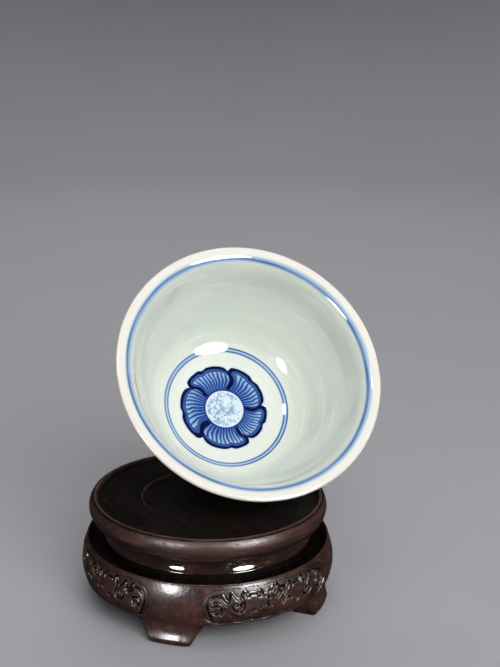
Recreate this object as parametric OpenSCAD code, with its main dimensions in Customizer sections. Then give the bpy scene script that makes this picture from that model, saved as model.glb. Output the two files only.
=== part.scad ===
// Porcelain tea bowl lying on its side on a round carved hardwood stand.
// Sizes are in millimetres, and +Z is up. The shapes are drawn about the stand's axis, with the
// table at z = 0, and placed() then brings the middle of the whole to the origin.
// The four carved aprons face -Y, +X, +Y and -X, and the four legs stand on the diagonals.

/* [Bowl] */
// Diameter over the rim
mouth_d = 100; // [97:1:103]
// Height from the foot ring to the rim
bowl_h = 48; // [46.5:0.5:49]
// Diameter over the foot ring
foot_ring_d = 45; // [43:0.5:46]
// Wall thickness of the foot ring
foot_ring_t = 2.2; // [1.8:0.1:2.8]

/* [Pose of the bowl] */
// Lean of the bowl's axis from upright, in degrees
lean = 51.4; // [50.5:0.1:52]
// Direction that the mouth faces, in degrees round from -Y
mouth_turn = -14.6; // [-45:0.1:45]
// How far the bowl's axis passes to the right of the stand's axis
bowl_aside = 16.3; // [10:0.1:18]
// How far the foot ring touches down behind the stand's axis
bowl_behind = 23.5; // [23:0.1:27]
// Clearance between the bowl and the stand where they touch
rest_gap = 0.12; // [0.08:0.01:0.3]

/* [Tray] */
// Diameter over the half-round edge of the tray
tray_d = 87.7; // [86:0.1:90]
// Height of the tray's rim bead above the table
stand_h = 39.2; // [39:0.1:42]
// Radius of the half-round edge
edge_r = 5.6; // [5.2:0.1:5.8]
// How far the tray's floor lies below its rim bead
tray_sink = 1.3; // [1:0.1:1.8]
// Diameter of the round seat sunk in the tray
seat_d = 48.4; // [46:0.1:50]
// Depth of the seat
seat_depth = 1; // [0.6:0.1:1.1]

/* [Waist] */
// Diameter of the waist at its narrowest
waist_d = 74; // [73:0.5:76]
// Height of the waist's flared lower edge above the table
waist_edge_h = 24.5; // [24.2:0.1:25]

/* [Drum] */
// Diameter over the drum's belly
drum_d = 94; // [93:0.2:96]
// Height of the drum's lip above the table
lip_h = 23.8; // [23.6:0.1:24.2]
// Depth of the gutter between the waist and the lip
gutter_depth = 4.5; // [3.5:0.1:5]
// Half the angle that one carved apron spans, in degrees
apron_half = 32.5; // [31:0.5:32.5]

/* [Feet] */
// Clear height under the aprons
foot_h = 9; // [8:0.1:10]
// Width of a foot where it meets the apron
foot_top_w = 25.4; // [24:0.2:27]
// Width of a foot on the table
foot_base_w = 13.9; // [12:0.1:16]
// How far each hand-cut foot is turned from its shoulder, in degrees
foot_turn = [-7, -4, -3.5, -3]; // [-8:0.5:0]

/* [Hidden] */
$fn = 96;

// Tray levels and radii.
tray_z = stand_h - tray_sink;
edge_z = stand_h - 3.8;
edge_mid_r = tray_d / 2 - edge_r;
bead_r = 0.8;
bead_mid_r = edge_mid_r + 3.35;
frame_in_r = 33;
frame_under_z = edge_z - edge_r;
panel_r = bead_mid_r - bead_r;
ledge_z = frame_under_z + 3.8;
fit_gap = 0.05;

// Drum levels and radii. The belly rolls over to the gutter in one smooth curve.
belly_r = drum_d / 2;
gutter_z = lip_h - gutter_depth;
board_t = 3.2;
board_z = gutter_z - board_t;
board_r = belly_r - 3.6;
lip_in_r = belly_r - 2.7;
lip_out_r = belly_r - 2.1;
apron_in_r = belly_r - 5.4;
leg_in_r = belly_r - 12;

// Joinery: shoulders that reach a little below the aprons, tongues between aprons and legs, tenons
// under the board, and pins through the waist.
shoulder_drop = 0.4;
tongue_r = [belly_r - 4.6, belly_r - 3.1];
tongue_z = [foot_h + 2, board_z - 0.6];
tongue_turn = 1.6;
tenon_w = 5;
tenon_r = leg_in_r + 2.2;
tenon_h = 2;
pin_r = 1;
pin_mid_r = 34.6;
pin_z = [board_z + 1, frame_under_z + 3.2];

// Carved cartouche: its size, and the sunk ground below the belly's surface.
cart_h = 12.6;
cart_z = (foot_h + lip_h) / 2 - 0.5;
cart_half_w = (belly_r - 0.5) * sin(apron_half - 0.8);
ground_depth = 0.7;
scroll_w = 1.1;

wood = [0.24, 0.16, 0.15];
wood_dark = [0.12, 0.09, 0.085];
wood_red = [0.3, 0.19, 0.17];
porcelain = [0.86, 0.9, 0.86];
bamboo = [0.72, 0.6, 0.38];

function bezier(p, n = 12) = [for (i = [0 : n]) let (t = i / n)
    pow(1 - t, 3) * p[0] + 3 * pow(1 - t, 2) * t * p[1] + 3 * (1 - t) * t * t * p[2] + pow(t, 3) * p[3]];

// A cubic curve of the bowl's section, from points given as parts of its radius and height.
function bowl_curve(p) = bezier([for (q = p) [q[0] * mouth_d / 2, q[1] * bowl_h]]);

foot_ring_r = foot_ring_d / 2;
bowl_outside = concat(
    bowl_curve([[0.458, 0.108], [0.655, 0.166], [0.79, 0.43], [0.862, 0.74]]),
    bowl_curve([[0.862, 0.74], [0.89, 0.868], [0.925, 0.945], [0.988, 0.968]]));
bowl_inside = concat(
    bowl_curve([[0.975, 1], [0.862, 1], [0.853, 0.895], [0.832, 0.81]]),
    bowl_curve([[0.832, 0.81], [0.8, 0.68], [0.74, 0.527], [0.655, 0.365]]),
    bowl_curve([[0.655, 0.365], [0.55, 0.165], [0.38, 0.165], [0, 0.165]]));
bowl_rim = [[mouth_d / 2, bowl_h * 0.977], [mouth_d / 2, bowl_h * 0.986], [0.99 * mouth_d / 2, bowl_h * 0.998]];
bowl_foot = [[0, 0.096 * bowl_h], [foot_ring_r - foot_ring_t - 1, 0.1 * bowl_h],
             [foot_ring_r - foot_ring_t, 0.5], [foot_ring_r - foot_ring_t + 0.4, 0],
             [foot_ring_r - 0.5, 0], [foot_ring_r, 0.5]];

// Where the foot ring's centre lies behind the stand's axis, before the mouth is turned.
foot_mid_y = bowl_behind + foot_ring_r * cos(lean);

// Distance from the stand's axis and height of a section point p, turned by a, on the leaning bowl.
function leaning(p, a) = let (down = p[0] * cos(a))
    [norm([p[0] * sin(a) + bowl_aside, foot_mid_y - down * cos(lean) - p[1] * sin(lean)]),
     p[1] * cos(lean) - down * sin(lean)];

// How far a point has to rise to clear the tray's floor or the seat sunk in it.
function rise(q) = q[0] > panel_r ? 0 : tray_z - (q[0] < seat_d / 2 ? seat_depth : 0) - q[1];

// The bowl rests on the edge of its foot ring and on its belly, whichever needs more room.
bowl_skin = concat([[foot_ring_r - 0.5, 0], [foot_ring_r, 0.5]], bowl_outside);
bowl_lift_z = rest_gap + max([for (i = [1 : len(bowl_skin) - 1], t = [0 : 0.125 : 1], a = [-60 : 60])
    rise(leaning(bowl_skin[i - 1] + t * (bowl_skin[i] - bowl_skin[i - 1]), a))]);

// The bowl leans out beyond the stand on one side, so the stand's axis is off the middle of the
// whole, by a whole number of millimetres.
mouth_mid_x = bowl_aside * cos(mouth_turn) - (foot_mid_y - bowl_h * sin(lean)) * sin(mouth_turn);
reach_x = mouth_mid_x + mouth_d / 2 * sqrt(1 - pow(sin(lean) * sin(mouth_turn), 2));
stand_x = round((belly_r - reach_x) / 2);

belly_curve = bezier([[belly_r - 1.5, foot_h], [belly_r + 0.55, foot_h + 4.6],
                      [belly_r, lip_h - 5.2], [lip_out_r, lip_h - 0.7]]);
foot_curve = concat(
    bezier([[belly_r - 2.5, foot_h], [belly_r - 3.1, 5.6], [belly_r - 2.5, 4.2], [belly_r - 1.75, 2.7]], 8),
    bezier([[belly_r - 1.75, 2.7], [belly_r - 1.1, 1.4], [belly_r - 2, 0], [belly_r - 3.4, 0]], 8));
waist_curve = bezier([[waist_d / 2, frame_under_z], [waist_d / 2, 27.4],
                      [waist_d / 2 + 0.3, 25.7], [waist_d / 2 + 1.35, waist_edge_h]], 10);

// Moves a shape drawn about the stand's axis so that the middle of the whole is at the origin.
module placed() {
    translate([stand_x, 0, 0]) children();
}

// Turns a flat section round the stand's axis, over an angle centred on a direction round from -Y.
module turned(direction = 0, half = 180) {
    if (half < 180)
        rotate([0, 0, direction - 90 - half]) rotate_extrude(angle = 2 * half, $fn = 180) children();
    else
        rotate_extrude($fn = 180) children();
}

// Section of the drum's wall, inwards to r = inner. It can reach lower than the aprons, by drop.
module drum_section(inner, drop = 0) {
    difference() {
        polygon(concat([[inner, foot_h - drop], [belly_r - 1.6, foot_h - drop]], belly_curve,
            [[lip_out_r - 0.1, lip_h - 0.25], [lip_out_r - 0.3, lip_h], [lip_in_r, lip_h - 0.1],
             [board_r + 0.1, gutter_z], [inner, gutter_z]]));
        translate([0, board_z]) square([board_r + fit_gap, board_t + 1]);
    }
}

// The bowl, one piece of thrown and turned porcelain.
module bowl() {
    color(porcelain)
    rotate([0, 0, mouth_turn])
    translate([bowl_aside, foot_mid_y, bowl_lift_z])
    rotate([lean, 0, 0])
    rotate_extrude($fn = 180) polygon(concat(bowl_foot, bowl_outside, bowl_rim, bowl_inside));
}

// Round board of the tray, with the seat sunk in its face.
module seat_panel() {
    color(wood_dark)
    difference() {
        translate([0, 0, ledge_z]) cylinder(h = tray_z - ledge_z, r = panel_r - fit_gap);
        translate([0, 0, tray_z - seat_depth]) cylinder(h = seat_depth + 1, d = seat_d);
    }
}

// Moulded ring round the tray: half-round edge, rim bead, and the ledge that carries the board.
module top_frame() {
    color(wood)
    difference() {
        turned() difference() {
            union() {
                difference() {
                    translate([edge_mid_r, edge_z]) circle(r = edge_r);
                    translate([0, stand_h - bead_r]) square([bead_mid_r + bead_r, edge_r]);
                    translate([bead_mid_r + bead_r + 0.1, stand_h - 0.15]) circle(r = 0.25, $fn = 24);
                }
                translate([bead_mid_r, stand_h - bead_r]) circle(r = bead_r, $fn = 48);
                translate([frame_in_r, frame_under_z]) square([edge_mid_r - frame_in_r, ledge_z - frame_under_z]);
            }
            translate([0, ledge_z]) square([panel_r, 2 * edge_r]);
            translate([0, frame_under_z - edge_r]) square([frame_in_r, 4 * edge_r]);
        }
        pins();
    }
}

// Polished waist, coved so that its lower edge stands over the gutter. A spigot on top centres
// the tray's ring and backs its board.
module waist_block() {
    color(wood_red)
    difference() {
        turned() polygon(concat(
            [[0, gutter_z], [0, ledge_z], [frame_in_r - fit_gap, ledge_z], [frame_in_r - fit_gap, frame_under_z]],
            waist_curve,
            [[waist_d / 2 + 1.2, waist_edge_h - 0.4], [waist_d / 2 + 0.6, waist_edge_h - 0.6],
             [waist_d / 2 + 0.6, gutter_z]]));
        pins();
    }
}

// Board across the top of the drum. Its edge is the gutter's floor, and the waist stands on it.
module drum_board() {
    color(wood_dark)
    difference() {
        translate([0, 0, board_z]) cylinder(h = board_t, r = board_r);
        for (i = [0 : 3]) leg_tenon(45 + 90 * i, fit_gap);
        pins();
    }
}

// Scrolls of one cartouche, seen square on. They repeat to the left and to the right.
module scrolls() {
    for (side = [-1, 1]) scale([side, 1]) {
        translate([cart_half_w - 6.2, 0]) {
            arc_band(3.6, 0, 300);
            arc_band(1.5, 40, 360);
        }
        translate([cart_half_w - 12.3, -1.2]) arc_band(2, 120, 400);
        translate([cart_half_w - 12.6, 2.6]) circle(r = 1, $fn = 24);
        translate([cart_half_w - 16.4, 1.6]) arc_band(1.9, -60, 200);
    }
    square([9, 3.4], center = true);
    square([4.6, 6.4], center = true);
}

// Part of a flat ring of the scroll's width, from one angle to another.
module arc_band(r, from, to) {
    steps = 10;
    difference() {
        circle(r = r + scroll_w / 2, $fn = 32);
        circle(r = r - scroll_w / 2, $fn = 32);
        if (to - from < 340)
            polygon(concat([[0, 0]], [for (i = [0 : steps]) let (a = to + (360 - to + from) * i / steps)
                3 * r * [cos(a), sin(a)]]));
    }
}

// Flat outline with round ends, as wide and as high as the cartouche less a margin.
module cartouche_outline(margin) {
    end_r = cart_h / 2 - margin;
    end_x = cart_half_w - cart_h / 2;
    square([2 * end_x, 2 * end_r], center = true);
    for (side = [-1, 1]) translate([side * end_x, 0]) circle(r = end_r, $fn = 48);
}

// Stands a flat shape up against the drum's face, in a direction round from -Y.
module facing(direction) {
    rotate([0, 0, direction]) translate([0, -belly_r + 14, cart_z]) rotate([90, 0, 0])
        linear_extrude(20) children();
}

// One apron: a quarter of the drum's wall, carved with scrolls in a sunk cartouche.
module apron(direction) {
    color(wood)
    difference() {
        union() {
            turned(direction, apron_half) drum_section(apron_in_r);
            turned(direction, apron_half + tongue_turn)
                translate([tongue_r[0], tongue_z[0]])
                square([tongue_r[1] - tongue_r[0], tongue_z[1] - tongue_z[0]]);
        }
        intersection() {
            turned(direction, apron_half - 0.2) difference() {
                square([belly_r + 2, lip_h]);
                translate([-ground_depth, 0]) drum_section(0);
            }
            facing(direction) difference() {
                cartouche_outline(0.7);
                scrolls();
            }
        }
    }
}

// Tenon that stands up from a leg into the drum board.
module leg_tenon(direction, gap = 0) {
    rotate([0, 0, direction]) translate([-tenon_w / 2 - gap, -tenon_r - tenon_w / 2 - gap, board_z - 1])
        cube([tenon_w + 2 * gap, tenon_w / 2 + 2 * gap, tenon_h + 1 + gap]);
}

// One leg: shoulder between two aprons, foot below, grooves for the tongues and a tenon on top.
module leg(corner) {
    direction = 45 + 90 * corner;
    foot_direction = direction + foot_turn[corner];
    shoulder_half = 45 - apron_half;
    color(wood)
    difference() {
        union() {
            turned(direction, shoulder_half) drum_section(leg_in_r, shoulder_drop);
            intersection() {
                turned(foot_direction, 24) polygon(concat([[leg_in_r, foot_h]], foot_curve, [[leg_in_r, 0]]));
                rotate([0, 0, foot_direction]) rotate([90, 0, 0]) linear_extrude(belly_r + 2)
                    polygon([[-foot_top_w / 2, foot_h], [-foot_base_w / 2, 0],
                             [foot_base_w / 2, 0], [foot_top_w / 2, foot_h]]);
            }
            leg_tenon(direction);
        }
        for (side = [-1, 1])
            turned(direction + side * 45, apron_half + tongue_turn + 0.1)
                translate([tongue_r[0] - fit_gap, tongue_z[0] - fit_gap])
                square([tongue_r[1] - tongue_r[0] + 2 * fit_gap, tongue_z[1] - tongue_z[0] + 2 * fit_gap]);
    }
}

// The four bamboo pins that hold the tray, the waist and the drum together.
module pins() {
    for (i = [0 : 3])
        rotate([0, 0, 90 * i]) translate([0, -pin_mid_r, pin_z[0]]) cylinder(h = pin_z[1] - pin_z[0], r = pin_r);
}
module joint_pins() {
    color(bamboo) pins();
}

module apron_front() { apron(0); }
module apron_right() { apron(90); }
module apron_back() { apron(180); }
module apron_left() { apron(270); }
module leg_front_right() { leg(0); }
module leg_back_right() { leg(1); }
module leg_back_left() { leg(2); }
module leg_front_left() { leg(3); }

placed() bowl();
placed() seat_panel();
placed() top_frame();
placed() waist_block();
placed() drum_board();
placed() apron_front();
placed() apron_right();
placed() apron_back();
placed() apron_left();
placed() leg_front_right();
placed() leg_back_right();
placed() leg_back_left();
placed() leg_front_left();
placed() joint_pins();
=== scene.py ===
"""Looks of the porcelain tea bowl and its carved hardwood stand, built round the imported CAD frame."""
import math

import bpy
import numpy as np
from mathutils import Matrix, Vector


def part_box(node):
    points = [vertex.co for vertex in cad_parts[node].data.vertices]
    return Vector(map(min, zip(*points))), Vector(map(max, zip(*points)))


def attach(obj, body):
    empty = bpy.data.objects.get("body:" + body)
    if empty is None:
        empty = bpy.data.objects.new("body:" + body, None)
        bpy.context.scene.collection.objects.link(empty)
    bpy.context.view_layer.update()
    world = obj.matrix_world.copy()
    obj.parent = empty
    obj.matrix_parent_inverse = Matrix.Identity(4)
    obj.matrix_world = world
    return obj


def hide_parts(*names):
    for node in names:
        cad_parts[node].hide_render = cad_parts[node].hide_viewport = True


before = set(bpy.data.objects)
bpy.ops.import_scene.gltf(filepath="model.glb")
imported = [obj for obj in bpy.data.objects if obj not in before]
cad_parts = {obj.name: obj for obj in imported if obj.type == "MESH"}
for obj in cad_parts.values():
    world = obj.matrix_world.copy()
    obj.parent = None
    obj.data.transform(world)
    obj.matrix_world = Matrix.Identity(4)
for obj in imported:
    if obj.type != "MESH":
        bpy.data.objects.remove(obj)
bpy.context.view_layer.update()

MM = 0.001
DIAGONALS = {"front_right": 45, "back_right": 135, "back_left": 225, "front_left": 315}
SIDES = {"front": 0, "right": 90, "back": 180, "left": 270}

# The stand's axis at table level, from the tray's ring. Everything is placed about it.
AXIS = Vector([(low + high) / 2 for low, high in zip(*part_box("top_frame"))])
AXIS.z = 0

# ---------------------------------------------------------------- driving sizes, in millimetres
# Bowl. MOUTH_R here and BELLY_R below are a hair smaller than the CAD's, so that the fine meshes stay
# inside its box.
MOUTH_R = 49.94
BOWL_H = 48.0
FOOT_R = 22.5
FOOT_T = 2.2
LIP_CREST_R = 0.975 * MOUTH_R
LIP_UNDER_R = 0.988 * MOUTH_R
LIP_EDGE_H = 0.982 * BOWL_H
LEAN = math.radians(51.4)
MOUTH_TURN = math.radians(-14.6)

# Stand: levels and radii.
STAND_H = 39.2
EDGE_R = 5.6
EDGE_MID_R = 38.25
EDGE_Z = STAND_H - 3.8
BEAD_R = 0.8
BEAD_MID_R = 41.6
PANEL_R = BEAD_MID_R - BEAD_R
TRAY_Z = STAND_H - 1.3
SEAT_R = 24.2
SEAT_DEPTH = 1.0
FRAME_UNDER_Z = EDGE_Z - EDGE_R
LEDGE_Z = FRAME_UNDER_Z + 3.8
FRAME_IN_R = 33.0
WAIST_R = 37.0
WAIST_EDGE_R = WAIST_R + 1.35
WAIST_UNDER_R = WAIST_R + 0.6
WAIST_EDGE_Z = 24.5
BELLY_R = 46.98
LIP_Z = 23.8
LIP_OUT_R = BELLY_R - 2.1
LIP_IN_R = BELLY_R - 2.7
GUTTER_Z = LIP_Z - 4.5
BOARD_Z = GUTTER_Z - 3.2
BOARD_R = BELLY_R - 3.6
APRON_IN_R = BELLY_R - 5.4
LEG_IN_R = BELLY_R - 12

# Feet. The aprons reach APRON_HALF degrees to each side, and the shoulders fill the rest. FOOT_TURN is
# how many degrees each hand-cut foot is off its shoulder.
APRON_HALF = 32.5
FOOT_H = 9.0
FOOT_TOP_W = 25.4
FOOT_BASE_W = 13.9
FOOT_CORNER = 1.1
FOOT_SOFT = 0.35
FOOT_TURN = {"front_right": -7, "back_right": -4, "back_left": -3.5, "front_left": -3}

# Carved cartouche: half length along the belly, half height, and the middle's height.
CART_HALF_L = 27.2
CART_HALF_H = 6.4
CART_Z = (FOOT_H + LIP_Z) / 2 - 0.5

# Painting on the bowl. The painter set the flower, its disc and the rings a little off centre.
MEDALLION_R = 17.75
DISC_R = 7.63
WELL_RING_R = 24.1
RIM_BAND_R = 45.4
FLOWER_AT = (-1.15, -0.27)
DISC_AT = (-0.84, -0.96)
RING_AT = (-0.35, -0.48)
RIM_LINE_AT = (-0.4, -0.1)
OUTER_RINGS_Z = (41.6, 3.0)
PETALS = 5
PETAL_START = math.radians(72.35)
PETAL_ANGLE = 2 * math.pi / PETALS
# How far the petals wander round the flower: size and phase, once and twice round.
UNEVEN_ONCE = (math.radians(7.1), 1.34)
UNEVEN_TWICE = (math.radians(5.1), -0.12)

# Points round a turned piece.
FINE = 320
COARSE = 256


# ---------------------------------------------------------------- curves and meshes
def bezier(points, n=24):
    """Points of a cubic curve."""
    p = [np.array(q, float) for q in points]
    t = np.linspace(0, 1, n + 1)[:, None]
    return (1 - t) ** 3 * p[0] + 3 * (1 - t) ** 2 * t * p[1] + 3 * (1 - t) * t * t * p[2] + t ** 3 * p[3]


def arc(centre, r, start, end, n=16):
    """Points of a circular arc, angles in degrees."""
    a = np.radians(np.linspace(start, end, n + 1))
    return np.stack([centre[0] + r * np.cos(a), centre[1] + r * np.sin(a)], -1)


def joined(*runs):
    """One outline from several runs of points, without doubled points."""
    points = np.vstack([np.atleast_2d(np.array(r, float)) for r in runs])
    keep = np.append(True, np.hypot(*np.diff(points, axis=0).T) > 1e-4)
    return points[keep]


def new_object(name, verts, faces, crease):
    """A smooth-shaded mesh object from points in millimetres. Edges sharper than crease stay sharp."""
    mesh = bpy.data.meshes.new(name)
    mesh.from_pydata((np.asarray(verts) * MM).tolist(), [], faces)
    mesh.update()
    mesh.shade_smooth()
    mesh.set_sharp_from_angle(angle=math.radians(crease))
    obj = bpy.data.objects.new(name, mesh)
    bpy.context.scene.collection.objects.link(obj)
    return obj


def lathe(name, section, steps, crease):
    """Turns a section from axis to axis, or a closed ring section, round the Z axis."""
    section = np.asarray(section)
    on_axis = section[:, 0] < 1e-6
    angles = 2 * np.pi * np.arange(steps) / steps
    verts, rings = [], []
    for (r, z), centre in zip(section, on_axis):
        if centre:
            rings.append([len(verts)] * steps)
            verts.append((0.0, 0.0, z))
        else:
            rings.append(list(range(len(verts), len(verts) + steps)))
            verts.extend(zip(r * np.cos(angles), r * np.sin(angles), np.full(steps, z)))
    pairs = list(zip(rings[:-1], rings[1:]))
    if not on_axis.any():
        pairs.append((rings[-1], rings[0]))
    faces = []
    for a, b in pairs:
        for i in range(steps):
            j = (i + 1) % steps
            face = [a[i], a[j], b[j], b[i]]
            faces.append(tuple(dict.fromkeys(face)))
    return new_object(name, verts, faces, crease)


def tube_faces(rings, count):
    """Faces of a closed tube through a number of rings of points, with a flat face at each end."""
    faces = []
    for ring in range(rings - 1):
        a, b = ring * count, (ring + 1) * count
        for i in range(count):
            j = (i + 1) % count
            faces.append((a + i, a + j, b + j, b + i))
    first = tuple(range(count))
    last = tuple(range((rings - 1) * count, rings * count))
    return faces + [first[::-1], last]


def tag(obj, name, values):
    """Stores one number per point for the materials to read."""
    layer = obj.data.attributes.new(name, "FLOAT", "POINT")
    layer.data.foreach_set("value", np.asarray(values, np.float32))


def step(value, low, high):
    """0 at low and 1 at high, level beyond them and smooth between. Low may be the larger one."""
    t = np.clip((value - low) / (high - low), 0, 1)
    return t * t * (3 - 2 * t)


def dress(obj, body, slot_name, *nodes):
    """Says which body a piece rides on and which CAD nodes it stands for. The slot_name argument is not
    used.

    The stand's pieces are made round the origin, so they move to its axis first.
    """
    if body == "stand":
        obj.location = AXIS
    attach(obj, body)
    if nodes:
        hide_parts(*nodes)


# ---------------------------------------------------------------- shader arithmetic
def linear(level):
    """Linear share of light from a 0-255 display value."""
    share = level / 255
    return ((share + 0.055) / 1.055) ** 2.4 if share > 0.04045 else share / 12.92


def srgb(red, green, blue):
    """Opaque linear colour from 0-255 display values."""
    return linear(red), linear(green), linear(blue), 1


class Num:
    """A number inside a material's node tree that takes ordinary arithmetic."""

    def __init__(self, tree, socket):
        self.tree = tree
        self.socket = socket

    def op(self, kind, *others):
        """A math node of one kind, with this number first."""
        node = self.tree.nodes.new("ShaderNodeMath")
        node.operation = kind
        for slot, value in zip(node.inputs, (self,) + others):
            feed(self.tree, slot, value)
        return Num(self.tree, node.outputs[0])

    def __add__(self, other):
        return self.op("ADD", other)

    def __mul__(self, other):
        return self.op("MULTIPLY", other)

    def __sub__(self, other):
        return self.op("SUBTRACT", other)

    def __rsub__(self, other):
        return (self * -1) + other

    def __truediv__(self, other):
        return self.op("DIVIDE", other)

    def __pow__(self, other):
        return self.op("POWER", other)

    def abs(self):
        return self.op("ABSOLUTE")

    def sin(self):
        return self.op("SINE")

    def cos(self):
        return self.op("COSINE")

    def fract(self):
        return self.op("FRACT")

    def least(self, other):
        return self.op("MINIMUM", other)

    def most(self, other):
        return self.op("MAXIMUM", other)

    def rise(self, low, high):
        """0 at low and 1 at high, level beyond them and smooth between. Low may be the larger one."""
        node = self.tree.nodes.new("ShaderNodeMapRange")
        node.interpolation_type = "SMOOTHSTEP"
        feed(self.tree, node.inputs["Value"], self)
        swap = low > high
        feed(self.tree, node.inputs["From Min"], high if swap else low)
        feed(self.tree, node.inputs["From Max"], low if swap else high)
        feed(self.tree, node.inputs["To Min"], 1.0 if swap else 0.0)
        feed(self.tree, node.inputs["To Max"], 0.0 if swap else 1.0)
        return Num(self.tree, node.outputs["Result"])

    def line(self, middle, half, soft):
        """1 on a band round middle, with soft edges."""
        return (self - middle).abs().rise(half + soft, half - soft)


def feed(tree, socket, value):
    """Sets an input, or links it if the value is a Num or a socket."""
    if isinstance(value, Num):
        tree.links.new(value.socket, socket)
    elif isinstance(value, bpy.types.NodeSocket):
        tree.links.new(value, socket)
    else:
        socket.default_value = value


class Material:
    """A principled material with helpers for procedural colour and bump.

    Its coordinates are the object's own, or a vector stored on the mesh under the name in place.
    """

    def __init__(self, name, place=None, **fixed):
        self.data = bpy.data.materials.new(name)
        self.data.use_nodes = True
        self.tree = self.data.node_tree
        self.shader = self.tree.nodes["Principled BSDF"]
        if place:
            node = self.tree.nodes.new("ShaderNodeAttribute")
            node.attribute_name = place
            self.coords = node.outputs["Vector"]
        else:
            self.coords = self.tree.nodes.new("ShaderNodeTexCoord").outputs["Object"]
        for key, value in fixed.items():
            self.shader.inputs[key.replace("_", " ")].default_value = value

    def xyz(self):
        """The three coordinates, in millimetres."""
        node = self.tree.nodes.new("ShaderNodeSeparateXYZ")
        self.tree.links.new(self.coords, node.inputs[0])
        return [Num(self.tree, out) / MM for out in node.outputs]

    def attribute(self, name):
        """A number that tag() stored on the mesh."""
        node = self.tree.nodes.new("ShaderNodeAttribute")
        node.attribute_name = name
        return Num(self.tree, node.outputs["Fac"])

    def noise(self, scale, detail=3.0, stretch=(1, 1, 1), distortion=0.0, at=None):
        """Noise with features about 1/scale metres across, stretched along an axis by a small factor."""
        mapping = self.tree.nodes.new("ShaderNodeMapping")
        mapping.inputs["Scale"].default_value = stretch
        self.tree.links.new(at or self.coords, mapping.inputs["Vector"])
        node = self.tree.nodes.new("ShaderNodeTexNoise")
        node.inputs["Scale"].default_value = scale
        node.inputs["Detail"].default_value = detail
        node.inputs["Distortion"].default_value = distortion
        self.tree.links.new(mapping.outputs[0], node.inputs["Vector"])
        return Num(self.tree, node.outputs["Fac"])

    def vector(self, x, y, z):
        """A vector socket from three numbers."""
        node = self.tree.nodes.new("ShaderNodeCombineXYZ")
        for socket, value in zip(node.inputs, (x, y, z)):
            feed(self.tree, socket, value)
        return node.outputs[0]

    def mix(self, amount, first, second):
        """The first colour, or the second where amount is 1."""
        node = self.tree.nodes.new("ShaderNodeMix")
        node.data_type = "RGBA"
        feed(self.tree, node.inputs["Factor"], amount)
        for socket, value in zip([s for s in node.inputs if s.type == "RGBA"], (first, second)):
            feed(self.tree, socket, value)
        return [s for s in node.outputs if s.type == "RGBA"][0]

    def set(self, key, value):
        """Sets or links one of the shader's inputs."""
        feed(self.tree, self.shader.inputs[key], value)

    def bump(self, height, distance, strength=1.0):
        """Fine surface relief. Distance is in metres for a height of 1."""
        node = self.tree.nodes.new("ShaderNodeBump")
        node.inputs["Strength"].default_value = strength
        node.inputs["Distance"].default_value = distance
        feed(self.tree, node.inputs["Height"], height)
        self.tree.links.new(node.outputs[0], self.shader.inputs["Normal"])


def reach_from(x, y, at=(0, 0)):
    """How far a place is from the Z axis, or from a line beside it that passes through a point."""
    across, along = x - at[0], y - at[1]
    return (across * across + along * along) ** 0.5


# ---------------------------------------------------------------- porcelain
GLAZE = srgb(224, 229, 219)
GLAZE_SHADE = srgb(208, 216, 204)
GLAZE_LIGHT = srgb(238, 242, 234)
GLAZE_WELL = srgb(226, 229, 223)
LIP_WHITE = srgb(242, 238, 229)
LIP_EDGE = srgb(206, 186, 166)
COBALT_WASH = srgb(156, 190, 224)
COBALT_LINE = srgb(52, 92, 156)
COBALT = srgb(30, 58, 128)
COBALT_MID = srgb(62, 98, 164)
COBALT_DEEP = srgb(10, 18, 66)
VEIN_LIGHT = srgb(152, 184, 218)
VEIN_INNER = srgb(92, 134, 194)
VEIN_DARK = srgb(26, 54, 130)
DISC_WHITE = srgb(216, 230, 236)
DISC_STROKE = srgb(112, 150, 196)


def porcelain(name):
    """Clear glossy glaze over a faintly green-white body."""
    mat = Material(name, "upright", Roughness=0.06, IOR=1.5, Coat_Weight=0.25, Coat_Roughness=0.03)
    mat.set("Subsurface Weight", 0.12)
    mat.set("Subsurface Radius", (1.0, 0.9, 0.8))
    mat.set("Subsurface Scale", 1.5 * MM)
    x, y, _ = mat.xyz()
    radius = reach_from(x, y)
    throwing = mat.noise(1.0, 2.0, at=mat.vector(radius * 0.55, x * 0.012, y * 0.012))
    ripple = mat.noise(55, 1.0) * 0.7 + mat.noise(210, 1.0) * 0.3 + throwing * radius.rise(25, 33)
    mat.bump(ripple, 0.00025)
    return mat


def glaze_colour(mat, x, y, radius):
    """Celadon tint with slight clouding and throwing lines, warmer where the glaze thins over the lip.
    The throwing lines are partly glaze pooled in the grooves and partly painted shade and light.
    """
    cloud = mat.noise(32, 2.0).rise(0.35, 0.7)
    ridge_glaze_and_shading = mat.noise(1.0, 3.0, at=mat.vector(radius, x * 0.045, y * 0.045))
    body = mat.mix(cloud * 0.5, GLAZE, GLAZE_SHADE)
    # Throwing lines: darker bands, partly glaze pooled in the grooves and partly painted shade; lighter
    # bands, painted light.
    body = mat.mix(ridge_glaze_and_shading.rise(0.44, 0.3) * 0.35, body, GLAZE_SHADE)
    body = mat.mix(ridge_glaze_and_shading.rise(0.58, 0.7) * 0.5, body, GLAZE_LIGHT)
    body = mat.mix(radius.rise(27, 24) * 0.7, body, GLAZE_WELL)
    streaks = mat.noise(1.0, 2.0, at=mat.vector(radius * 2.6, x * 0.06, y * 0.06))
    lip = mat.mix(streaks.rise(0.5, 0.7) * 0.3, LIP_WHITE, GLAZE_SHADE)
    lip = mat.mix(radius.rise(MOUTH_R - 0.7, MOUTH_R - 0.1) * 0.45, lip, LIP_EDGE)
    return mat.mix(radius.rise(RIM_BAND_R + 0.6, RIM_BAND_R + 2.2), body, lip)


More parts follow.
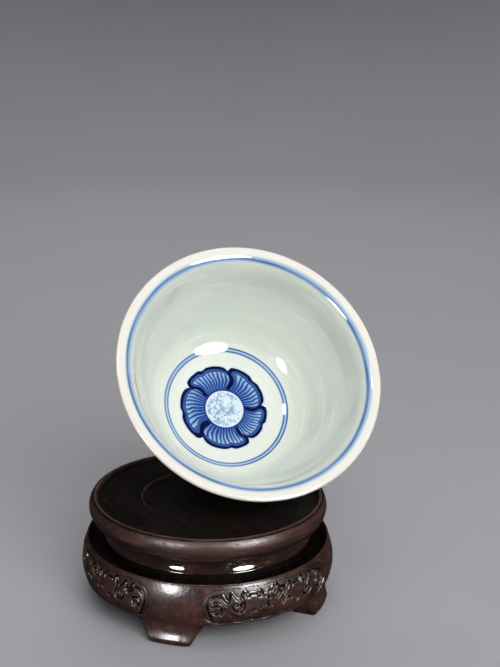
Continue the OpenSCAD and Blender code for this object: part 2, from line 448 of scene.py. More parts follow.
def brush_lines(mat, colour, radius, middle, half, edge, wobble):
    """Two thin painted lines with a wash between them, round the bowl. Radius may be a height instead."""
    place = radius + wobble
    load = mat.noise(45, 2.0).rise(0.3, 0.7) * 0.3 + 0.68
    colour = mat.mix(place.line(middle, half, 0.22) * 0.85, colour, COBALT_WASH)
    outer = place.line(middle + half - edge, edge, 0.16)
    inner = place.line(middle - half + edge, edge, 0.16)
    return mat.mix(outer.most(inner) * load, colour, COBALT_LINE)


def rim_band(mat, colour, x, y, radius, wobble):
    """A soft wash under the lip with one darker line, which the painter set a little off centre."""
    load = mat.noise(45, 2.0).rise(0.3, 0.7) * 0.3 + 0.6
    colour = mat.mix((radius + wobble).line(RIM_BAND_R, 0.95, 0.4) * 0.85, colour, COBALT_WASH)
    from_line = reach_from(x, y, RIM_LINE_AT) + wobble
    return mat.mix(from_line.line(RIM_BAND_R, 0.42, 0.35) * load, colour, COBALT_LINE)


def petal_turn(mat, angle, rho):
    """Where a place lies round the flower, in petals. The petals are uneven and their sides curl."""
    once = (angle - UNEVEN_ONCE[1]).cos() * UNEVEN_ONCE[0]
    twice = (angle * 2 - UNEVEN_TWICE[1]).cos() * UNEVEN_TWICE[0]
    curl = rho.rise(0.66, 0.88) * 0.105 - rho.rise(0.46, 0.62) * 0.055 - rho.rise(0.88, 1.0) * 0.055
    shake = (mat.noise(330, 2.0) - 0.5) * 0.03
    steady = (angle * -1 + PETAL_START - (once + twice)) / PETAL_ANGLE + PETALS
    return steady + curl + shake


def petal_depth(inside, from_start):
    """How deep a place lies inside a petal. The corner where the petal starts is rounded."""
    corner_r = 0.2
    beside = (corner_r - from_start.least(corner_r)) ** 2
    below = (corner_r - inside.least(corner_r).most(0.0)) ** 2
    return (corner_r - (beside + below) ** 0.5).least(inside)


def petal_colour(mat, u, petal, rho, depth):
    """A pale wash with curved veins, then the lines along the petal's edge, from the inside out."""
    wash = mat.mix(rho.rise(0.9, 0.5), VEIN_LIGHT, VEIN_INNER)
    comma = (rho * 11.0 - 5.4).sin() * 0.42
    veins = (u * 11 + comma + (mat.noise(260, 2.0) - 0.5) * 0.9 + petal * 0.37).fract()
    breadth = 0.34 - rho.rise(0.5, 0.86) * 0.14
    vein = (breadth - (veins - 0.5).abs()).rise(-0.1, 0.1) * depth.rise(0.11, 0.15)
    colour = mat.mix(vein * 0.95, wash, VEIN_DARK)
    colour = mat.mix(depth.rise(0.135, 0.12), colour, COBALT)
    colour = mat.mix(depth.line(0.088, 0.016, 0.016) * 0.8, colour, COBALT_MID)
    colour = mat.mix(depth.rise(0.07, 0.05), colour, COBALT_DEEP)
    from_end = (1 - u) * rho * PETAL_ANGLE
    return mat.mix(from_end.rise(0.04, 0.018), colour, COBALT_DEEP)


def disc_colour(mat, radius):
    """White with pale brushed scrolls."""
    swirl = mat.noise(410, 1.0, distortion=1.0)
    fine = mat.noise(760, 1.0, (1, 0.6, 1), 0.6)
    strokes = (swirl - 0.5).abs().rise(0.055, 0.02).most(fine.rise(0.52, 0.62) * 0.8)
    strokes = strokes * mat.noise(210, 1.0).rise(0.34, 0.46) * radius.rise(DISC_R - 0.2, DISC_R - 0.9)
    return mat.mix(strokes * 0.85, DISC_WHITE, DISC_STROKE)


def medallion(mat, colour, x, y):
    """Five overlapping petals turning round a white disc, painted in layers of cobalt."""
    rho = reach_from(x, y, FLOWER_AT) / MEDALLION_R
    angle = (y - FLOWER_AT[1]).op("ARCTAN2", x - FLOWER_AT[0])
    turn = petal_turn(mat, angle, rho)

    # u runs 0 to 1 round each petal, clockwise. The start of a petal overlaps the end of the last.
    u = turn.fract()
    petal = turn.op("FLOOR")
    from_start = u * rho * PETAL_ANGLE

    # Each petal has two scallops with a nick between them, and narrows towards its end.
    nick = (u - 0.43).abs().rise(0.1, 0.0)
    shake = (mat.noise(330, 2.0) - 0.5) * 0.018
    outline = (u * 2 - 0.9).abs() ** 5 * -0.06 - nick * 0.032 + u * -0.035 + 1.005 + shake
    inside = outline - rho

    painted = petal_colour(mat, u, petal, rho, petal_depth(inside, from_start))
    radius = reach_from(x, y, DISC_AT)
    painted = mat.mix(radius.rise(DISC_R + 1.6, DISC_R + 0.3) * 0.8, painted, COBALT)
    colour = mat.mix(inside.rise(-0.05, 0.0) * 0.45, colour, COBALT_WASH)
    colour = mat.mix(inside.rise(-0.008, 0.008), colour, painted)
    return mat.mix(radius.rise(DISC_R + 0.12, DISC_R - 0.12), colour, disc_colour(mat, radius))


def bowl_inside_material():
    """Glaze with the band under the lip, the double ring round the well, and the flower."""
    mat = porcelain("porcelain_inside")
    x, y, _ = mat.xyz()
    radius = reach_from(x, y)
    wobble = (mat.noise(60, 2.0) - 0.5) * 0.35
    colour = glaze_colour(mat, x, y, radius)
    colour = rim_band(mat, colour, x, y, radius, wobble)
    well = reach_from(x, y, RING_AT)
    colour = brush_lines(mat, colour, well, WELL_RING_R, 0.92, 0.3, wobble * 0.5)
    colour = medallion(mat, colour, x, y)
    mat.set("Base Color", colour)
    return mat.data


def bowl_outside_material():
    """Glaze with a double ring under the lip and another round the foot."""
    mat = porcelain("porcelain_outside")
    x, y, z = mat.xyz()
    wobble = (mat.noise(60, 2.0) - 0.5) * 0.35
    colour = glaze_colour(mat, x, y, reach_from(x, y))
    for height in OUTER_RINGS_Z:
        colour = brush_lines(mat, colour, z, height, 0.9, 0.22, wobble)
    mat.set("Base Color", colour)
    return mat.data


def biscuit_material():
    """Bare fired clay on the foot ring, where the glaze was wiped off."""
    mat = Material("porcelain_biscuit", "upright", Roughness=0.7)
    speck = mat.noise(900, 3.0).rise(0.55, 0.7)
    mat.set("Base Color", mat.mix(speck * 0.5, srgb(226, 214, 196), srgb(196, 172, 146)))
    mat.bump(mat.noise(2600, 3.0), 0.00006)
    return mat.data


def bowl_curve(points):
    """A curve from points given as shares of the mouth's radius and the bowl's height."""
    return bezier([(r * MOUTH_R, h * BOWL_H) for r, h in points])


def bowl_sections():
    """The bowl's section in four runs: under the foot, the foot ring, the outside and the inside."""
    foot_in = FOOT_R - FOOT_T
    under_h = 0.1 * BOWL_H
    under = joined(
        [(0, 0.096 * BOWL_H)],
        bezier([(foot_in - 2.2, under_h), (foot_in - 1, under_h),
                (foot_in - 0.3, 3.6), (foot_in, 0.5)], 10))
    ring = joined([(foot_in, 0.5), (foot_in + 0.4, 0), (FOOT_R - 0.5, 0), (FOOT_R, 0.5)])
    outside = joined(
        bezier([(FOOT_R, 0.5), (FOOT_R + 0.1, 3.4), (FOOT_R - 0.1, 4.4),
                (0.458 * MOUTH_R, 0.108 * BOWL_H)], 8),
        bowl_curve([(0.458, 0.108), (0.655, 0.166), (0.79, 0.43), (0.862, 0.74)]),
        bowl_curve([(0.862, 0.74), (0.89, 0.868), (0.925, 0.945), (0.988, 0.968)]),
        bezier([(LIP_UNDER_R, 0.968 * BOWL_H), (0.996 * MOUTH_R, 0.97 * BOWL_H),
                (MOUTH_R, 0.974 * BOWL_H), (MOUTH_R, LIP_EDGE_H)], 5))
    inside = joined(
        bezier([(MOUTH_R, LIP_EDGE_H), (MOUTH_R, 0.996 * BOWL_H),
                (LIP_UNDER_R, BOWL_H), (LIP_CREST_R, BOWL_H)], 8),
        bowl_curve([(0.975, 1), (0.862, 1), (0.853, 0.895), (0.832, 0.81)]),
        bowl_curve([(0.832, 0.81), (0.8, 0.68), (0.74, 0.527), (0.655, 0.365)]),
        bowl_curve([(0.655, 0.365), (0.55, 0.165), (0.38, 0.165), (0, 0.165)]))
    return under, ring, outside, inside


def finish_bowl(bowl, under, ring, outside):
    """Glaze inside and outside, and bare clay on the foot ring, by the rows of faces of the section."""
    for mat in (bowl_inside_material(), bowl_outside_material(), biscuit_material()):
        bowl.data.materials.append(mat)
    rows = np.arange(len(bowl.data.polygons)) // FINE
    first_ring_row = len(under) - 1
    last_ring_row = len(under) + len(ring) - 2
    first_inside_row = len(joined(under, ring, outside)) - 1
    kind = np.where(rows >= first_inside_row, 0, 1)
    kind[(rows >= first_ring_row) & (rows <= last_ring_row)] = 2
    bowl.data.polygons.foreach_set("material_index", kind.astype(np.int32))


def mesh_points(obj):
    """All of a mesh's points, as one flat array."""
    points = np.empty(len(obj.data.vertices) * 3, np.float32)
    obj.data.vertices.foreach_get("co", points)
    return points


def lean_bowl(bowl):
    """Keeps the standing bowl's coordinates for its paint, then leans it and puts it in its CAD box."""
    upright = bowl.data.attributes.new("upright", "FLOAT_VECTOR", "POINT")
    upright.data.foreach_set("vector", mesh_points(bowl))
    bowl.data.transform(Matrix.Rotation(MOUTH_TURN, 4, "Z") @ Matrix.Rotation(LEAN, 4, "X"))
    leaning = mesh_points(bowl).reshape(-1, 3)
    middle = (leaning.min(axis=0) + leaning.max(axis=0)) / 2
    low, high = (np.array(corner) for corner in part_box("bowl"))
    bowl.data.transform(Matrix.Translation((low + high) / 2 - middle))


def make_bowl():
    """The bowl, turned in one piece and laid on its side."""
    under, ring, outside, inside = bowl_sections()
    bowl = lathe("tea_bowl", joined(under, ring, outside, inside), FINE, 60)
    finish_bowl(bowl, under, ring, outside)
    lean_bowl(bowl)
    dress(bowl, "bowl", "porcelain", "bowl")


# ---------------------------------------------------------------- wood
WOOD_BLACK = srgb(9, 6, 6)
WOOD_DARK = srgb(30, 18, 16)
WOOD_MID = srgb(68, 42, 36)
WOOD_RED = srgb(92, 55, 45)
WOOD_LIGHT = srgb(112, 76, 62)
# Pale wood for dust specks and wear, and also for painted highlight on edges.
WOOD_WEAR_DUST_AND_HIGHLIGHT = srgb(122, 92, 78)
GRAIN_RELIEF = 0.05 * MM


def wood(name, tone, roughness, gloss, grain, mottle=2.4, relief=False):
    """Oiled near-black hardwood: reddish stretched grain, short pores and a waxy, slightly uneven sheen.

    Tone is how far the reddish grain shows, gloss the polish over it, grain the stretch of its figure
    along x, y and z, and mottle how uneven the surface is, against the grain's own relief. With relief
    it also reads the carving's grooves, ground and raised edges, which are stored on the mesh: the
    grooves are painted black as shade, and the raised edges lighter, partly as wear and partly as
    painted highlight.
    """
    mat = Material(name, IOR=1.5, Coat_Weight=gloss, Coat_Roughness=0.04)
    broad = mat.noise(90, 3.0, grain, 1.0)
    streak = mat.noise(420, 4.0, grain, 0.5)
    fine = mat.noise(1300, 3.0, grain, 0.4)
    pores = mat.noise(3000, 2.0, grain).rise(0.60, 0.70)
    colour = mat.mix(broad.rise(0.3, 0.72) * tone, WOOD_DARK, WOOD_MID)
    colour = mat.mix(streak.rise(0.48, 0.72) * 0.75 * tone, colour, WOOD_RED)
    colour = mat.mix(fine.rise(0.55, 0.8) * 0.5 * tone, colour, WOOD_LIGHT)
    colour = mat.mix(pores * 0.75, colour, WOOD_BLACK)
    cloudy = mat.noise(240, 3.0) + mat.noise(1500, 2.0) - 1.0
    rough = cloudy * (roughness * 0.7) + pores * 0.1 + roughness
    dry = pores
    if relief:
        carved = mat.attribute("carved")
        sunk = mat.attribute("sunk")
        wear_and_highlight = mat.attribute("wear_and_highlight")
        stipple = mat.noise(1900, 2.0)
        # Raised edges are painted lighter, partly as wear and partly as painted highlight.
        colour = mat.mix(wear_and_highlight * 0.5, colour, WOOD_WEAR_DUST_AND_HIGHLIGHT)
        colour = mat.mix(sunk * stipple.rise(0.62, 0.45) * 0.5, colour, WOOD_BLACK)
        # The carving's grooves are painted black: painted shade in the cuts.
        colour = mat.mix(carved, colour, WOOD_BLACK)
        rough = rough - carved * 0.1 + sunk * 0.06 - wear_and_highlight * 0.05
        dry = dry + sunk * stipple * 1.2
    mat.set("Base Color", colour)
    mat.set("Roughness", rough)
    uneven = mat.noise(340, 2.0) * mottle
    mat.bump(uneven + fine * 0.5 + streak * 0.6 - dry * 0.6, GRAIN_RELIEF)
    return mat.data


def turned_wood(name, roughness, shine, edge_r=None):
    """The boards: almost black, with the lathe's faint rings, dry specks and a painted highlight line round
    edge_r.
    """
    mat = Material(name, IOR=1.5, Specular_IOR_Level=shine)
    x, y, z = mat.xyz()
    radius = reach_from(x, y)
    rings = mat.noise(1.0, 3.0, at=mat.vector(radius * 1.6, z * 1.6, 0.5))
    fine = mat.noise(1500, 3.0, (1, 0.12, 1))
    streak = mat.noise(300, 3.0, (1, 0.1, 1), 0.6)
    specks = mat.noise(2400, 1.0).rise(0.70, 0.76)
    colour = mat.mix(streak.rise(0.4, 0.7) * 0.8, WOOD_BLACK, WOOD_DARK)
    colour = mat.mix(fine.rise(0.55, 0.8) * 0.45, colour, WOOD_MID)
    colour = mat.mix(specks * 0.35, colour, WOOD_WEAR_DUST_AND_HIGHLIGHT)
    if edge_r:
        # A painted highlight line round the seat's edge.
        painted_edge_highlight = radius.line(edge_r, 0.28, 0.15) * mat.noise(190, 4.0).rise(0.32, 0.6)
        colour = mat.mix(painted_edge_highlight * 0.6, colour, WOOD_WEAR_DUST_AND_HIGHLIGHT)
    cloudy = (mat.noise(160, 3.0) - 0.5) * 0.12
    mat.set("Base Color", colour)
    mat.set("Roughness", rings.rise(0.35, 0.65) * 0.12 + cloudy + roughness)
    mat.bump(rings * 0.8 + fine * 0.5, GRAIN_RELIEF)
    return mat.data


def bamboo_material():
    """Pale split bamboo with fibres along the pins."""
    mat = Material("bamboo_pins", Roughness=0.55)
    fibre = mat.noise(1400, 3.0, (1, 1, 0.08))
    mat.set("Base Color", mat.mix(fibre, srgb(206, 178, 122), srgb(150, 116, 66)))
    mat.bump(fibre, GRAIN_RELIEF)
    return mat.data


def make_tray_ring():
    """The turned ring round the tray: a half-round edge, a fine groove and a thin rim bead."""
    groove_r = BEAD_MID_R + BEAD_R + 0.1
    edge_end = math.degrees(math.acos((groove_r + 0.22 - EDGE_MID_R) / EDGE_R))
    ring = joined(
        [(FRAME_IN_R, LEDGE_Z), (FRAME_IN_R, FRAME_UNDER_Z)],
        arc((EDGE_MID_R, EDGE_Z), EDGE_R, -90, edge_end, 60),
        arc((groove_r, STAND_H - 0.15), 0.25, -60, -150, 5),
        arc((BEAD_MID_R, STAND_H - BEAD_R), BEAD_R, 25, 180, 18),
        [(PANEL_R, LEDGE_Z)])
    top_frame = lathe("tray_ring", ring, FINE, 50)
    levels = np.repeat(ring, FINE, axis=0)
    from_crest = np.hypot(levels[:, 0] - BEAD_MID_R, levels[:, 1] - STAND_H)
    from_groove = np.hypot(levels[:, 0] - groove_r, levels[:, 1] - STAND_H + 0.4)
    # The bead's crest is painted lighter, partly as wear and partly as painted highlight; the fine groove
    # is painted black as shade.
    tag(top_frame, "wear_and_highlight", step(from_crest, 0.6, 0.2) * 0.4)
    tag(top_frame, "carved", step(from_groove, 0.5, 0.2))
    ring_wood = wood("wood_ring", tone=1.3, roughness=0.38, gloss=0.0, grain=(0.14, 0.14, 1), relief=True)
    top_frame.data.materials.append(ring_wood)
    dress(top_frame, "stand", "frame_wood", "top_frame")


def make_tray_board():
    """The board inside the ring, with softened edges at its rim and round the sunk seat."""
    board_r = PANEL_R - 0.05
    seat_z = TRAY_Z - SEAT_DEPTH
    rim_soft, seat_soft, seat_fillet = 0.3, 0.55, 0.2
    board = joined(
        [(0, LEDGE_Z), (board_r, LEDGE_Z)],
        arc((board_r - rim_soft, TRAY_Z - rim_soft), rim_soft, 0, 90, 5),
        arc((SEAT_R + seat_soft, TRAY_Z - seat_soft), seat_soft, 90, 180, 9),
        arc((SEAT_R - seat_fillet, seat_z + seat_fillet), seat_fillet, 0, -90, 4),
        [(0, seat_z)])
    panel = lathe("tray_board", board, COARSE, 50)
    panel.data.materials.append(turned_wood("wood_board", roughness=0.26, shine=0.15, edge_r=SEAT_R + 0.2))
    dress(panel, "stand", "tray_wood", "seat_panel")


def make_waist():
    """The coved, polished waist. Below its edge it is dull and, as painted shade, darker, like the gutter
    round it.
    """
    cove = bezier([(WAIST_R, FRAME_UNDER_Z), (WAIST_R, 27.4),
                   (WAIST_R + 0.3, 25.7), (WAIST_EDGE_R, WAIST_EDGE_Z)])
    under_edge_z = WAIST_EDGE_Z - 0.6
    spigot_r = FRAME_IN_R - 0.05
    section = joined(
        [(0, GUTTER_Z), (WAIST_UNDER_R, GUTTER_Z), (WAIST_UNDER_R, under_edge_z)],
        bezier([(WAIST_UNDER_R, under_edge_z), (WAIST_R + 1.0, under_edge_z),
                (WAIST_EDGE_R, WAIST_EDGE_Z - 0.35), (WAIST_EDGE_R, WAIST_EDGE_Z)], 6),
        cove[::-1],
        [(spigot_r, FRAME_UNDER_Z), (spigot_r, LEDGE_Z), (0, LEDGE_Z)])
    waist = lathe("waist", section, FINE, 50)
    polished = wood("wood_waist", tone=0.55, roughness=0.06, gloss=1.0, grain=(0.3, 0.3, 1), mottle=0.4)
    waist.data.materials.append(polished)
    waist.data.materials.append(turned_wood("wood_gutter", roughness=0.5, shine=0.04))
    # Below the waist's edge the faces take the near-black, dull gutter wood: painted shade of the gutter.
    dull_shade_top = (WAIST_EDGE_Z - 0.3) * MM
    dull_and_painted_shade = [all(waist.data.vertices[v].co.z < dull_shade_top for v in face.vertices)
                  for face in waist.data.polygons]
    waist.data.polygons.foreach_set("material_index", np.array(dull_and_painted_shade, np.int32))
    dress(waist, "stand", "waist_wood", "waist_block")


# ---------------------------------------------------------------- carving
# One half of a cartouche, as (along from its middle, above its middle) in millimetres. The motif's
# outline runs over its crest, clouds, hook, leaf and spiral, and back along the bottom.
MOTIF = [
    (0, 5.2), (0.9, 5.6), (1.7, 4.3), (3.3, 4.1),
    (4.4, 2.9), (5.1, 3.6), (5.7, 4.6), (6.3, 4.6), (6.7, 3.2),
    (7.6, 3.9), (9.0, 4.1), (10.0, 4.1), (10.8, 3.5),
    (11.4, 4.6), (12.2, 5.2), (12.8, 4.4), (13.1, 3.0),
    (14.2, 2.6), (15.1, 3.1), (15.8, 4.1), (16.5, 5.0), (17.3, 4.2),
    (17.6, 2.0), (18.6, 2.7), (19.6, 4.2), (20.3, 4.7), (20.9, 4.1),
    (22.5, 3.9), (24.0, 3.1), (24.9, 1.6), (25.1, -0.4), (24.4, -3.0), (22.6, -6.0)]
MOTIF_FOOT = -6.0
HOOK = [(12.9, 3.2), (12.7, 2.2), (12.5, 0.6), (12.3, -0.9), (12.8, -1.8), (13.8, -2.1), (15.0, -1.9),
        (16.0, -1.1), (16.1, 0.0), (15.4, 1.0), (14.8, 0.4)]
HOOK_INNER = [(14.2, 2.4), (13.6, 1.3), (13.6, -0.4)]
LEAF = [(20.9, 4.0), (19.3, 2.0), (18.3, 1.1)]
STAR = [(6.3, -1.1), (5.2, -0.4), (4.4, -0.7)]
CREST = [(3.3, 3.9), (3.5, 2.3), (2.8, 1.5)]
CREST_LOWER = [(3.6, 0.2), (3.2, -1.3), (2.2, -1.7)]
CREST_INNER = [(0.8, 3.7), (1.6, 2.4), (0.5, 1.1)]
STROKES = (HOOK, HOOK_INNER, LEAF, STAR, CREST, CREST_LOWER, CREST_INNER)
EYE = (22.0, -0.7)
EYE_R = 1.6
EYE_LINE_R = 2.6
SPOT = (9.1, -2.2)
SPOT_R = 0.6
# How deep the panel, its ground round the motif, the gouged lines and the border line are cut, and how
# far the motif's edges are rounded down.
PANEL_DEPTH = 0.1
GROUND_DEPTH = 0.24
GROOVE_DEPTH = 0.72
BORDER_DEPTH = 0.12
ROUNDING = 0.16


def smooth_line(points, n=6):
    """Catmull-Rom curve through given points."""
    p = np.array([points[0]] + list(points) + [points[-1]], float)
    out = []
    for a, b, c, d in zip(p[:-3], p[1:-2], p[2:-1], p[3:]):
        for t in np.linspace(0, 1, n, endpoint=False):
            out.append(0.5 * (2 * b + (c - a) * t + (2 * a - 5 * b + 4 * c - d) * t * t
                              + (3 * b - a - 3 * c + d) * t ** 3))
    return np.array(out + [p[-1]])


def distance(x, z, line):
    """Distance from each place to a run of straight pieces."""
    best = np.full(x.shape, 99.0)
    for a, b in zip(line[:-1], line[1:]):
        d = b - a
        t = np.clip(((x - a[0]) * d[0] + (z - a[1]) * d[1]) / max(d @ d, 1e-9), 0, 1)
        best = np.minimum(best, np.hypot(x - a[0] - t * d[0], z - a[1] - t * d[1]))
    return best


def enclosed(x, z, line):
    """Whether each place lies inside a closed run of points."""
    hit = np.zeros(x.shape, bool)
    for a, b in zip(line, np.roll(line, -1, axis=0)):
        rise = b[1] - a[1]
        at = a[0] + (z - a[1]) * (b[0] - a[0]) / (rise if rise else 1)
        hit ^= ((a[1] > z) != (b[1] > z)) & (x < at)
    return hit


def cartouche(x, z):
    """Carving at places along and above the cartouche's middle: its depth, grooves and sunk ground."""
    # The carver's hand shakes a little.
    x = x + 0.16 * np.sin(1.3 * z + x * 0.7)
    z = z + 0.12 * np.sin(0.9 * x + 0.5)
    out = np.abs(x)
    edge = np.hypot(np.maximum(out - (CART_HALF_L - CART_HALF_H), 0), z) - CART_HALF_H
    outline = smooth_line(MOTIF)
    closed = np.vstack([outline, [(0, MOTIF_FOOT)]])
    rim = distance(out, z, closed)
    inside = np.where(enclosed(out, z, closed), rim, -rim)
    ground = step(-inside, -0.02, 0.22)

    lines = [outline] + [smooth_line(stroke) for stroke in STROKES]
    lines += [arc(EYE, EYE_R, 20, 330, 24), arc(SPOT, SPOT_R, 0, 360, 12)]
    to_line = np.min([distance(out, z, line) for line in lines], axis=0)
    to_fine_line = distance(out, z, arc(EYE, EYE_LINE_R, 60, 230, 20))

    field = step(-edge, 0.0, 0.3)
    groove = np.maximum(step(to_line, 0.6, 0.2), 0.45 * step(to_fine_line, 0.45, 0.1))
    border = 0.75 * step(np.abs(edge + 0.3), 0.3, 0.08)
    rounded = ROUNDING * (1 - step(inside, 0.3, 1.3)) * (1 - ground)
    depth = field * (GROUND_DEPTH * ground + rounded + GROOVE_DEPTH * groove + PANEL_DEPTH)
    depth = depth + BORDER_DEPTH * border
    return depth, np.maximum(field * groove, border), field * ground * (1 - groove)


# ---------------------------------------------------------------- drum
def drum_outline(inner):
    """Closed section of the drum's wall as far in as a radius, and which of its points are on the belly."""
    belly = bezier([(BELLY_R - 1.5, FOOT_H), (BELLY_R + 0.55, FOOT_H + 4.6),
                    (BELLY_R, LIP_Z - 5.2), (LIP_OUT_R, LIP_Z - 0.7)], 104)
    start = [(inner, FOOT_H), (BELLY_R - 2.0, FOOT_H)]
    lip = joined(
        arc((LIP_OUT_R - 0.46, LIP_Z - 0.46), 0.46, 20, 90, 7),
        arc((LIP_IN_R + 0.2, LIP_Z - 0.2), 0.2, 90, 170, 5),
        [(BOARD_R + 0.1, GUTTER_Z), (BOARD_R + 0.05, BOARD_Z), (inner, BOARD_Z)])
    points = np.vstack([start, belly, lip])
    on_belly = np.zeros(len(points), bool)
    on_belly[len(start):len(start) + len(belly)] = True
    return points, on_belly


def blurred(values):
    """Values of a grid, smoothed over a few neighbours."""
    for _ in range(5):
        beside = np.roll(values, 1, 0) + np.roll(values, -1, 0)
        above = np.roll(values, 1, 1) + np.roll(values, -1, 1)
        values = (beside + above + values) / 5
    return values


def wall(name, direction, half, inner, columns):
    """A stretch of the drum's wall, centred on a direction in degrees round from -Y, with closed ends.

    Every place is carved as the nearest side's cartouche is, so that aprons and shoulders match.
    """
    section, on_belly = drum_outline(inner)
    turns = direction + np.linspace(-half, half, columns)
    nearest_side = 90 * np.round(turns / 90)
    along, above = np.meshgrid(np.radians(turns - nearest_side) * (BELLY_R - 0.5),
                               section[:, 1] - CART_Z, indexing="ij")
    depth, groove, ground = np.where(on_belly, cartouche(along, above), 0)
    r = section[:, 0] - depth
    a = np.radians(turns)[:, None]
    z = np.broadcast_to(section[:, 1], r.shape)
    verts = np.stack([r * np.sin(a), -r * np.cos(a), z], -1).reshape(-1, 3)
    obj = new_object(name, verts, tube_faces(columns, len(section)), 50)
    # The grooves are painted black in the wood, as painted shade.
    tag(obj, "carved", groove.ravel())
    tag(obj, "sunk", ground.ravel())
    # Edges raised beside the cuts are painted lighter, partly as wear and partly as painted highlight.
    tag(obj, "wear_and_highlight", step(blurred(depth) - depth, 0.03, 0.16).ravel())
    return obj


def make_drum():
    """The four carved aprons. Their wood has no polish, so that the grooves, painted black as shade, stay
    black.
    """
    carved_wood = wood("wood_carved", tone=0.95, roughness=0.3, gloss=0.0, grain=(0.5, 0.5, 1),
                       mottle=1.2, relief=True)
    for side, direction in SIDES.items():
        apron = wall("apron_carved_" + side, direction, APRON_HALF, APRON_IN_R, 380)
        apron.data.materials.append(carved_wood)
        dress(apron, "stand", "apron_wood", "apron_" + side)


# ---------------------------------------------------------------- legs
def foot_levels():
    """Outer radius and height of a foot's levels, from its softened lower edge up into the shoulder."""
    swell = (BELLY_R - 1.75, 2.7)
    lower = bezier([(BELLY_R - 3.4, 0), (BELLY_R - 2, 0), (BELLY_R - 1.1, 1.4), swell], 14)
    upper = bezier([swell, (BELLY_R - 2.5, 4.2), (BELLY_R - 3.1, 5.6), (BELLY_R - 2.5, FOOT_H + 0.6)], 16)
    return joined(lower, upper)


def foot_ring(r, z):
    """A foot's outline at one height, as (across, outwards): left side, front, right side and back."""
    corner = FOOT_CORNER
    share = min(z / FOOT_H, 1)
    tuck = FOOT_SOFT * (1 - step(z, 0, 0.45))
    half = FOOT_BASE_W / 2 + (FOOT_TOP_W - FOOT_BASE_W) / 2 * (0.8 * share + 0.2 * share * share) - tuck
    inner = LEG_IN_R + 0.4 + tuck
    sweep = math.asin((half - corner) / r)
    side = r * math.cos(sweep) - corner

    flank = [(half, v) for v in np.linspace(inner + corner * 2, side, 8)]
    rounding = [(half - corner * (1 - math.cos(a)), side + corner * math.sin(a))
                for a in np.radians([22, 45, 67])]
    right = [(half, inner + corner)] + flank + rounding
    left = [(-across, outwards) for across, outwards in right]
    front = [(r * math.sin(a), r * math.cos(a)) for a in np.linspace(-sweep, sweep, 25)]
    back = [(half - corner, inner), (-half + corner, inner)]
    return left + front + right[::-1] + back


def make_foot(name, direction):
    """One foot, turned a little off its shoulder as it was cut by hand."""
    levels = foot_levels()
    rings = [foot_ring(r, z) for r, z in levels]
    verts = [(across, -outwards, z) for ring, z in zip(rings, levels[:, 1]) for across, outwards in ring]
    foot = new_object("leg_" + name, verts, tube_faces(len(rings), len(rings[0])), 45)
    foot.data.transform(Matrix.Rotation(math.radians(direction + FOOT_TURN[name]), 4, "Z"))
    return foot


def make_legs():
    """Shoulder and foot of each leg, between the aprons."""
    leg_wood = wood("wood_leg", tone=1.0, roughness=0.26, gloss=0.2, grain=(0.6, 0.6, 1), relief=True)
    for name, direction in DIAGONALS.items():
        shoulder = wall("leg_" + name + "_shoulder", direction, 45 - APRON_HALF, LEG_IN_R, 150)
        for piece in (shoulder, make_foot(name, direction)):
            piece.data.materials.append(leg_wood)
            dress(piece, "stand", "leg_wood", "leg_" + name)


# ---------------------------------------------------------------- nodes that keep their CAD shape
def finish_cad_nodes():
    """Materials for the drum's board and the pins."""
    materials = {"drum_board": turned_wood("wood_drum_board", roughness=0.5, shine=0.04),
                 "joint_pins": bamboo_material()}
    for node, mat in materials.items():
        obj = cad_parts[node]
        obj.data.materials.clear()
        obj.data.materials.append(mat)


# ---------------------------------------------------------------- camera, floor and light
# The camera stands at an azimuth round from -Y. Its yaw turns it from the stand's axis to the right.
CAM_AZIMUTH = math.radians(-31)
CAM_DISTANCE = 413.5 * MM
CAM_HEIGHT = 213.5 * MM
CAM_YAW = math.radians(2.007)
CAM_PITCH = math.radians(15.362)
CAM_ROLL = math.radians(0.948)
CAM_LENS = 64.8
AIM_HEIGHT = 60 * MM


def polar(azimuth, distance, height):
    """A place seen from the stand's axis, its azimuth in radians round from -Y."""
    return AXIS + Vector((math.sin(azimuth) * distance, -math.cos(azimuth) * distance, height))


def make_camera():
    """A moderately long lens, looking down on the tray and into the bowl."""
    data = bpy.data.cameras.new("camera")
    data.lens = CAM_LENS
    camera = bpy.data.objects.new("camera", data)
    bpy.context.scene.collection.objects.link(camera)
    heading = CAM_AZIMUTH - CAM_YAW
    level = math.cos(CAM_PITCH)
    ahead = Vector((-math.sin(heading) * level, math.cos(heading) * level, -math.sin(CAM_PITCH)))
    turn = ahead.to_track_quat("-Z", "Y").to_matrix() @ Matrix.Rotation(CAM_ROLL, 3, "Z")
    place = polar(CAM_AZIMUTH, CAM_DISTANCE, CAM_HEIGHT)
    camera.matrix_world = Matrix.Translation(place) @ turn.to_4x4()
    bpy.context.scene.camera = camera


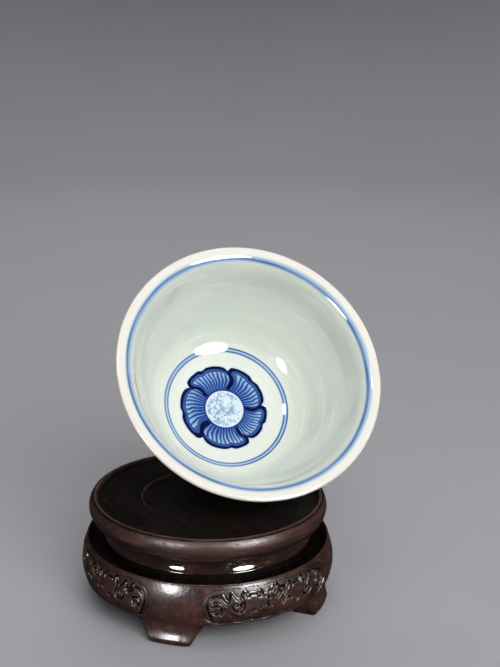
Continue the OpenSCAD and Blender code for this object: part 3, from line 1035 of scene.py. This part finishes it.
def make_floor():
    """A pale round sweep: a flat floor that curves up into a wall all round, far from the object."""
    wall_r, bend_r, wall_h = 1900, 800, 2200
    bend = arc((wall_r - bend_r, bend_r), bend_r, -90, 0, 24)
    floor = lathe("sweep", joined([(0, 0), (300, 0)], bend, [(wall_r, wall_h)]), 96, 180)
    floor.location = AXIS
    mat = Material("sweep_paper", Roughness=0.75)
    paper = mat.noise(9, 3.0)
    mat.set("Base Color", mat.mix(paper, srgb(164, 164, 169), srgb(170, 170, 174)))
    floor.data.materials.append(mat.data)
    floor.visible_glossy = False


def softbox(name, azimuth, elevation, distance, width, height, power, glossy=True, diffuse=True):
    """An oval soft light aimed at the object. Its angles are degrees, round from the camera and up."""
    data = bpy.data.lights.new(name, "AREA")
    data.shape = "ELLIPSE"
    data.size = width
    data.size_y = height
    data.energy = power
    lamp = bpy.data.objects.new(name, data)
    bpy.context.scene.collection.objects.link(lamp)
    up = math.radians(elevation)
    target = AXIS + Vector((0, 0, AIM_HEIGHT))
    place = polar(CAM_AZIMUTH + math.radians(azimuth), distance * math.cos(up),
                  distance * math.sin(up) + AIM_HEIGHT)
    lamp.location = place
    lamp.rotation_mode = "QUATERNION"
    lamp.rotation_quaternion = (target - place).to_track_quat("-Z", "Y")
    lamp.visible_glossy = glossy
    lamp.visible_diffuse = diffuse


def make_lights():
    """Small soft windows that only show as highlights, and large soft lights that only light."""
    softbox("window_right", 38.7, 17, 0.95, width=0.37, height=0.43, power=15, diffuse=False)
    softbox("window_left", -32, 12.5, 0.95, width=0.25, height=0.33, power=7.5, diffuse=False)
    softbox("skylight", -9, 62, 0.95, width=0.1, height=0.12, power=0.8, diffuse=False)
    softbox("front", 18, 34, 1.5, width=1.35, height=0.9, power=18.5, glossy=False)
    softbox("overhead", 10, 78, 1.1, width=1.2, height=1.2, power=4, glossy=False)
    softbox("rear", 180, 40, 1.4, width=1.6, height=0.9, power=6, glossy=False)


def make_world():
    """A faint even fill."""
    world = bpy.data.worlds.new("studio")
    world.use_nodes = True
    background = world.node_tree.nodes["Background"]
    background.inputs["Color"].default_value = (0.8, 0.82, 0.86, 1)
    background.inputs["Strength"].default_value = 0.05
    bpy.context.scene.world = world


make_camera()
make_bowl()
make_tray_ring()
make_tray_board()
make_waist()
make_drum()
make_legs()
finish_cad_nodes()
make_floor()
make_lights()
make_world()
bpy.context.view_layer.update()
bpy.context.scene.view_settings.view_transform = "Standard"
